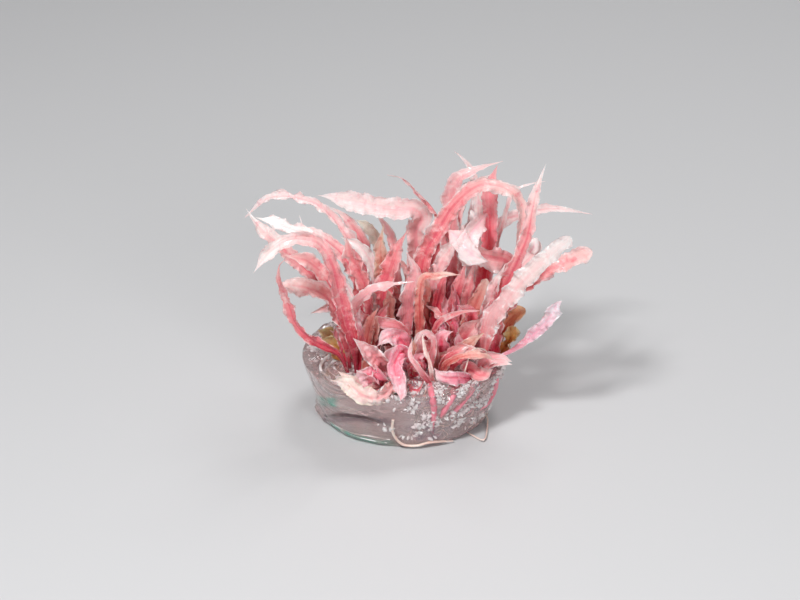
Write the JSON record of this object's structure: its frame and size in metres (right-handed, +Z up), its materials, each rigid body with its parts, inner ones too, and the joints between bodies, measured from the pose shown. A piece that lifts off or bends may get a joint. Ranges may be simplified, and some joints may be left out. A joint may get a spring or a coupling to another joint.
{
  "type": "tissue culture aquarium plant",
  "caption": "Tissue-cultured pink cryptocoryne: long wavy ribbon leaves growing out of a clear tapered gel plug, with pale roots.",
  "frame": {"origin": "centre of the gel plug's flat base", "axes": "+Z up out of the base; -Y towards the open front of the leaf fan, +X to its right"},
  "size_m": [0.1193, 0.0741, 0.0952],
  "materials": {
    "gel": "clear wet gel",
    "leaf_pink": "wet coral-pink leaf",
    "leaf_deep": "wet crimson leaf",
    "leaf_pale": "wet blush-white leaf",
    "leaf_tan": "wet salmon-tan leaf",
    "leaf_brown": "soft decayed leaf",
    "root": "wet pale root"
  },
  "bodies": {
    "root": {"gel_block": "gel", "leaf_left_arch": "leaf_pink", "leaf_left_outer": "leaf_pink", "leaf_left_ruffled": "leaf_tan", "leaf_left_pointed": "leaf_pale", "leaf_left_inner": "leaf_pink", "leaf_left_upper": "leaf_pink", "leaf_left_small": "leaf_pale", "leaf_pink_tip": "leaf_pink", "leaf_back_spike": "leaf_pale", "leaf_left_decayed": "leaf_brown", "leaf_back_left": "leaf_pale", "leaf_back_second": "leaf_pink", "leaf_white_inner": "leaf_pale", "leaf_grey": "leaf_tan", "leaf_tan": "leaf_tan", "leaf_red_back": "leaf_deep", "leaf_folded_white": "leaf_pale", "leaf_loop": "leaf_pink", "leaf_centre_pink": "leaf_pink", "leaf_yellow_tip": "leaf_tan", "leaf_salmon": "leaf_tan", "leaf_thin_arch": "leaf_deep", "leaf_big_arch": "leaf_pink", "leaf_behind_arch": "leaf_pink", "leaf_white_back": "leaf_pale", "leaf_top_left": "leaf_pink", "leaf_top_point": "leaf_pale", "leaf_midrib": "leaf_deep", "leaf_beside_midrib": "leaf_pink", "leaf_thin_right": "leaf_pale", "leaf_far_right": "leaf_pale", "leaf_right_upright": "leaf_pink", "leaf_right_blunt": "leaf_pale", "leaf_right_rounded": "leaf_pink", "leaf_right_orange": "leaf_tan", "leaf_right_olive": "leaf_brown", "leaf_right_lilac": "leaf_pale", "leaf_right_curl": "leaf_pale", "leaf_hanging_fold": "leaf_pale", "leaf_dark_inner": "leaf_deep", "leaf_ruffled_inner": "leaf_deep", "leaf_round_tip": "leaf_tan", "leaf_front_arch": "leaf_pink", "leaf_broad_right": "leaf_pink", "leaf_front_cream": "leaf_pale", "leaf_front_magenta": "leaf_deep", "leaf_front_white": "leaf_pale", "leaf_front_saddle": "leaf_pink", "leaf_front_hanging": "leaf_pale", "leaf_front_curl": "leaf_tan", "leaf_front_strap": "leaf_pink", "leaf_front_boat": "leaf_pale", "leaf_front_right": "leaf_pale", "stalk_centre": "leaf_deep", "stalk_middle": "leaf_deep", "stalk_right": "leaf_pink", "root_front": "root", "root_loop": "root"}
  },
  "joints": []
}
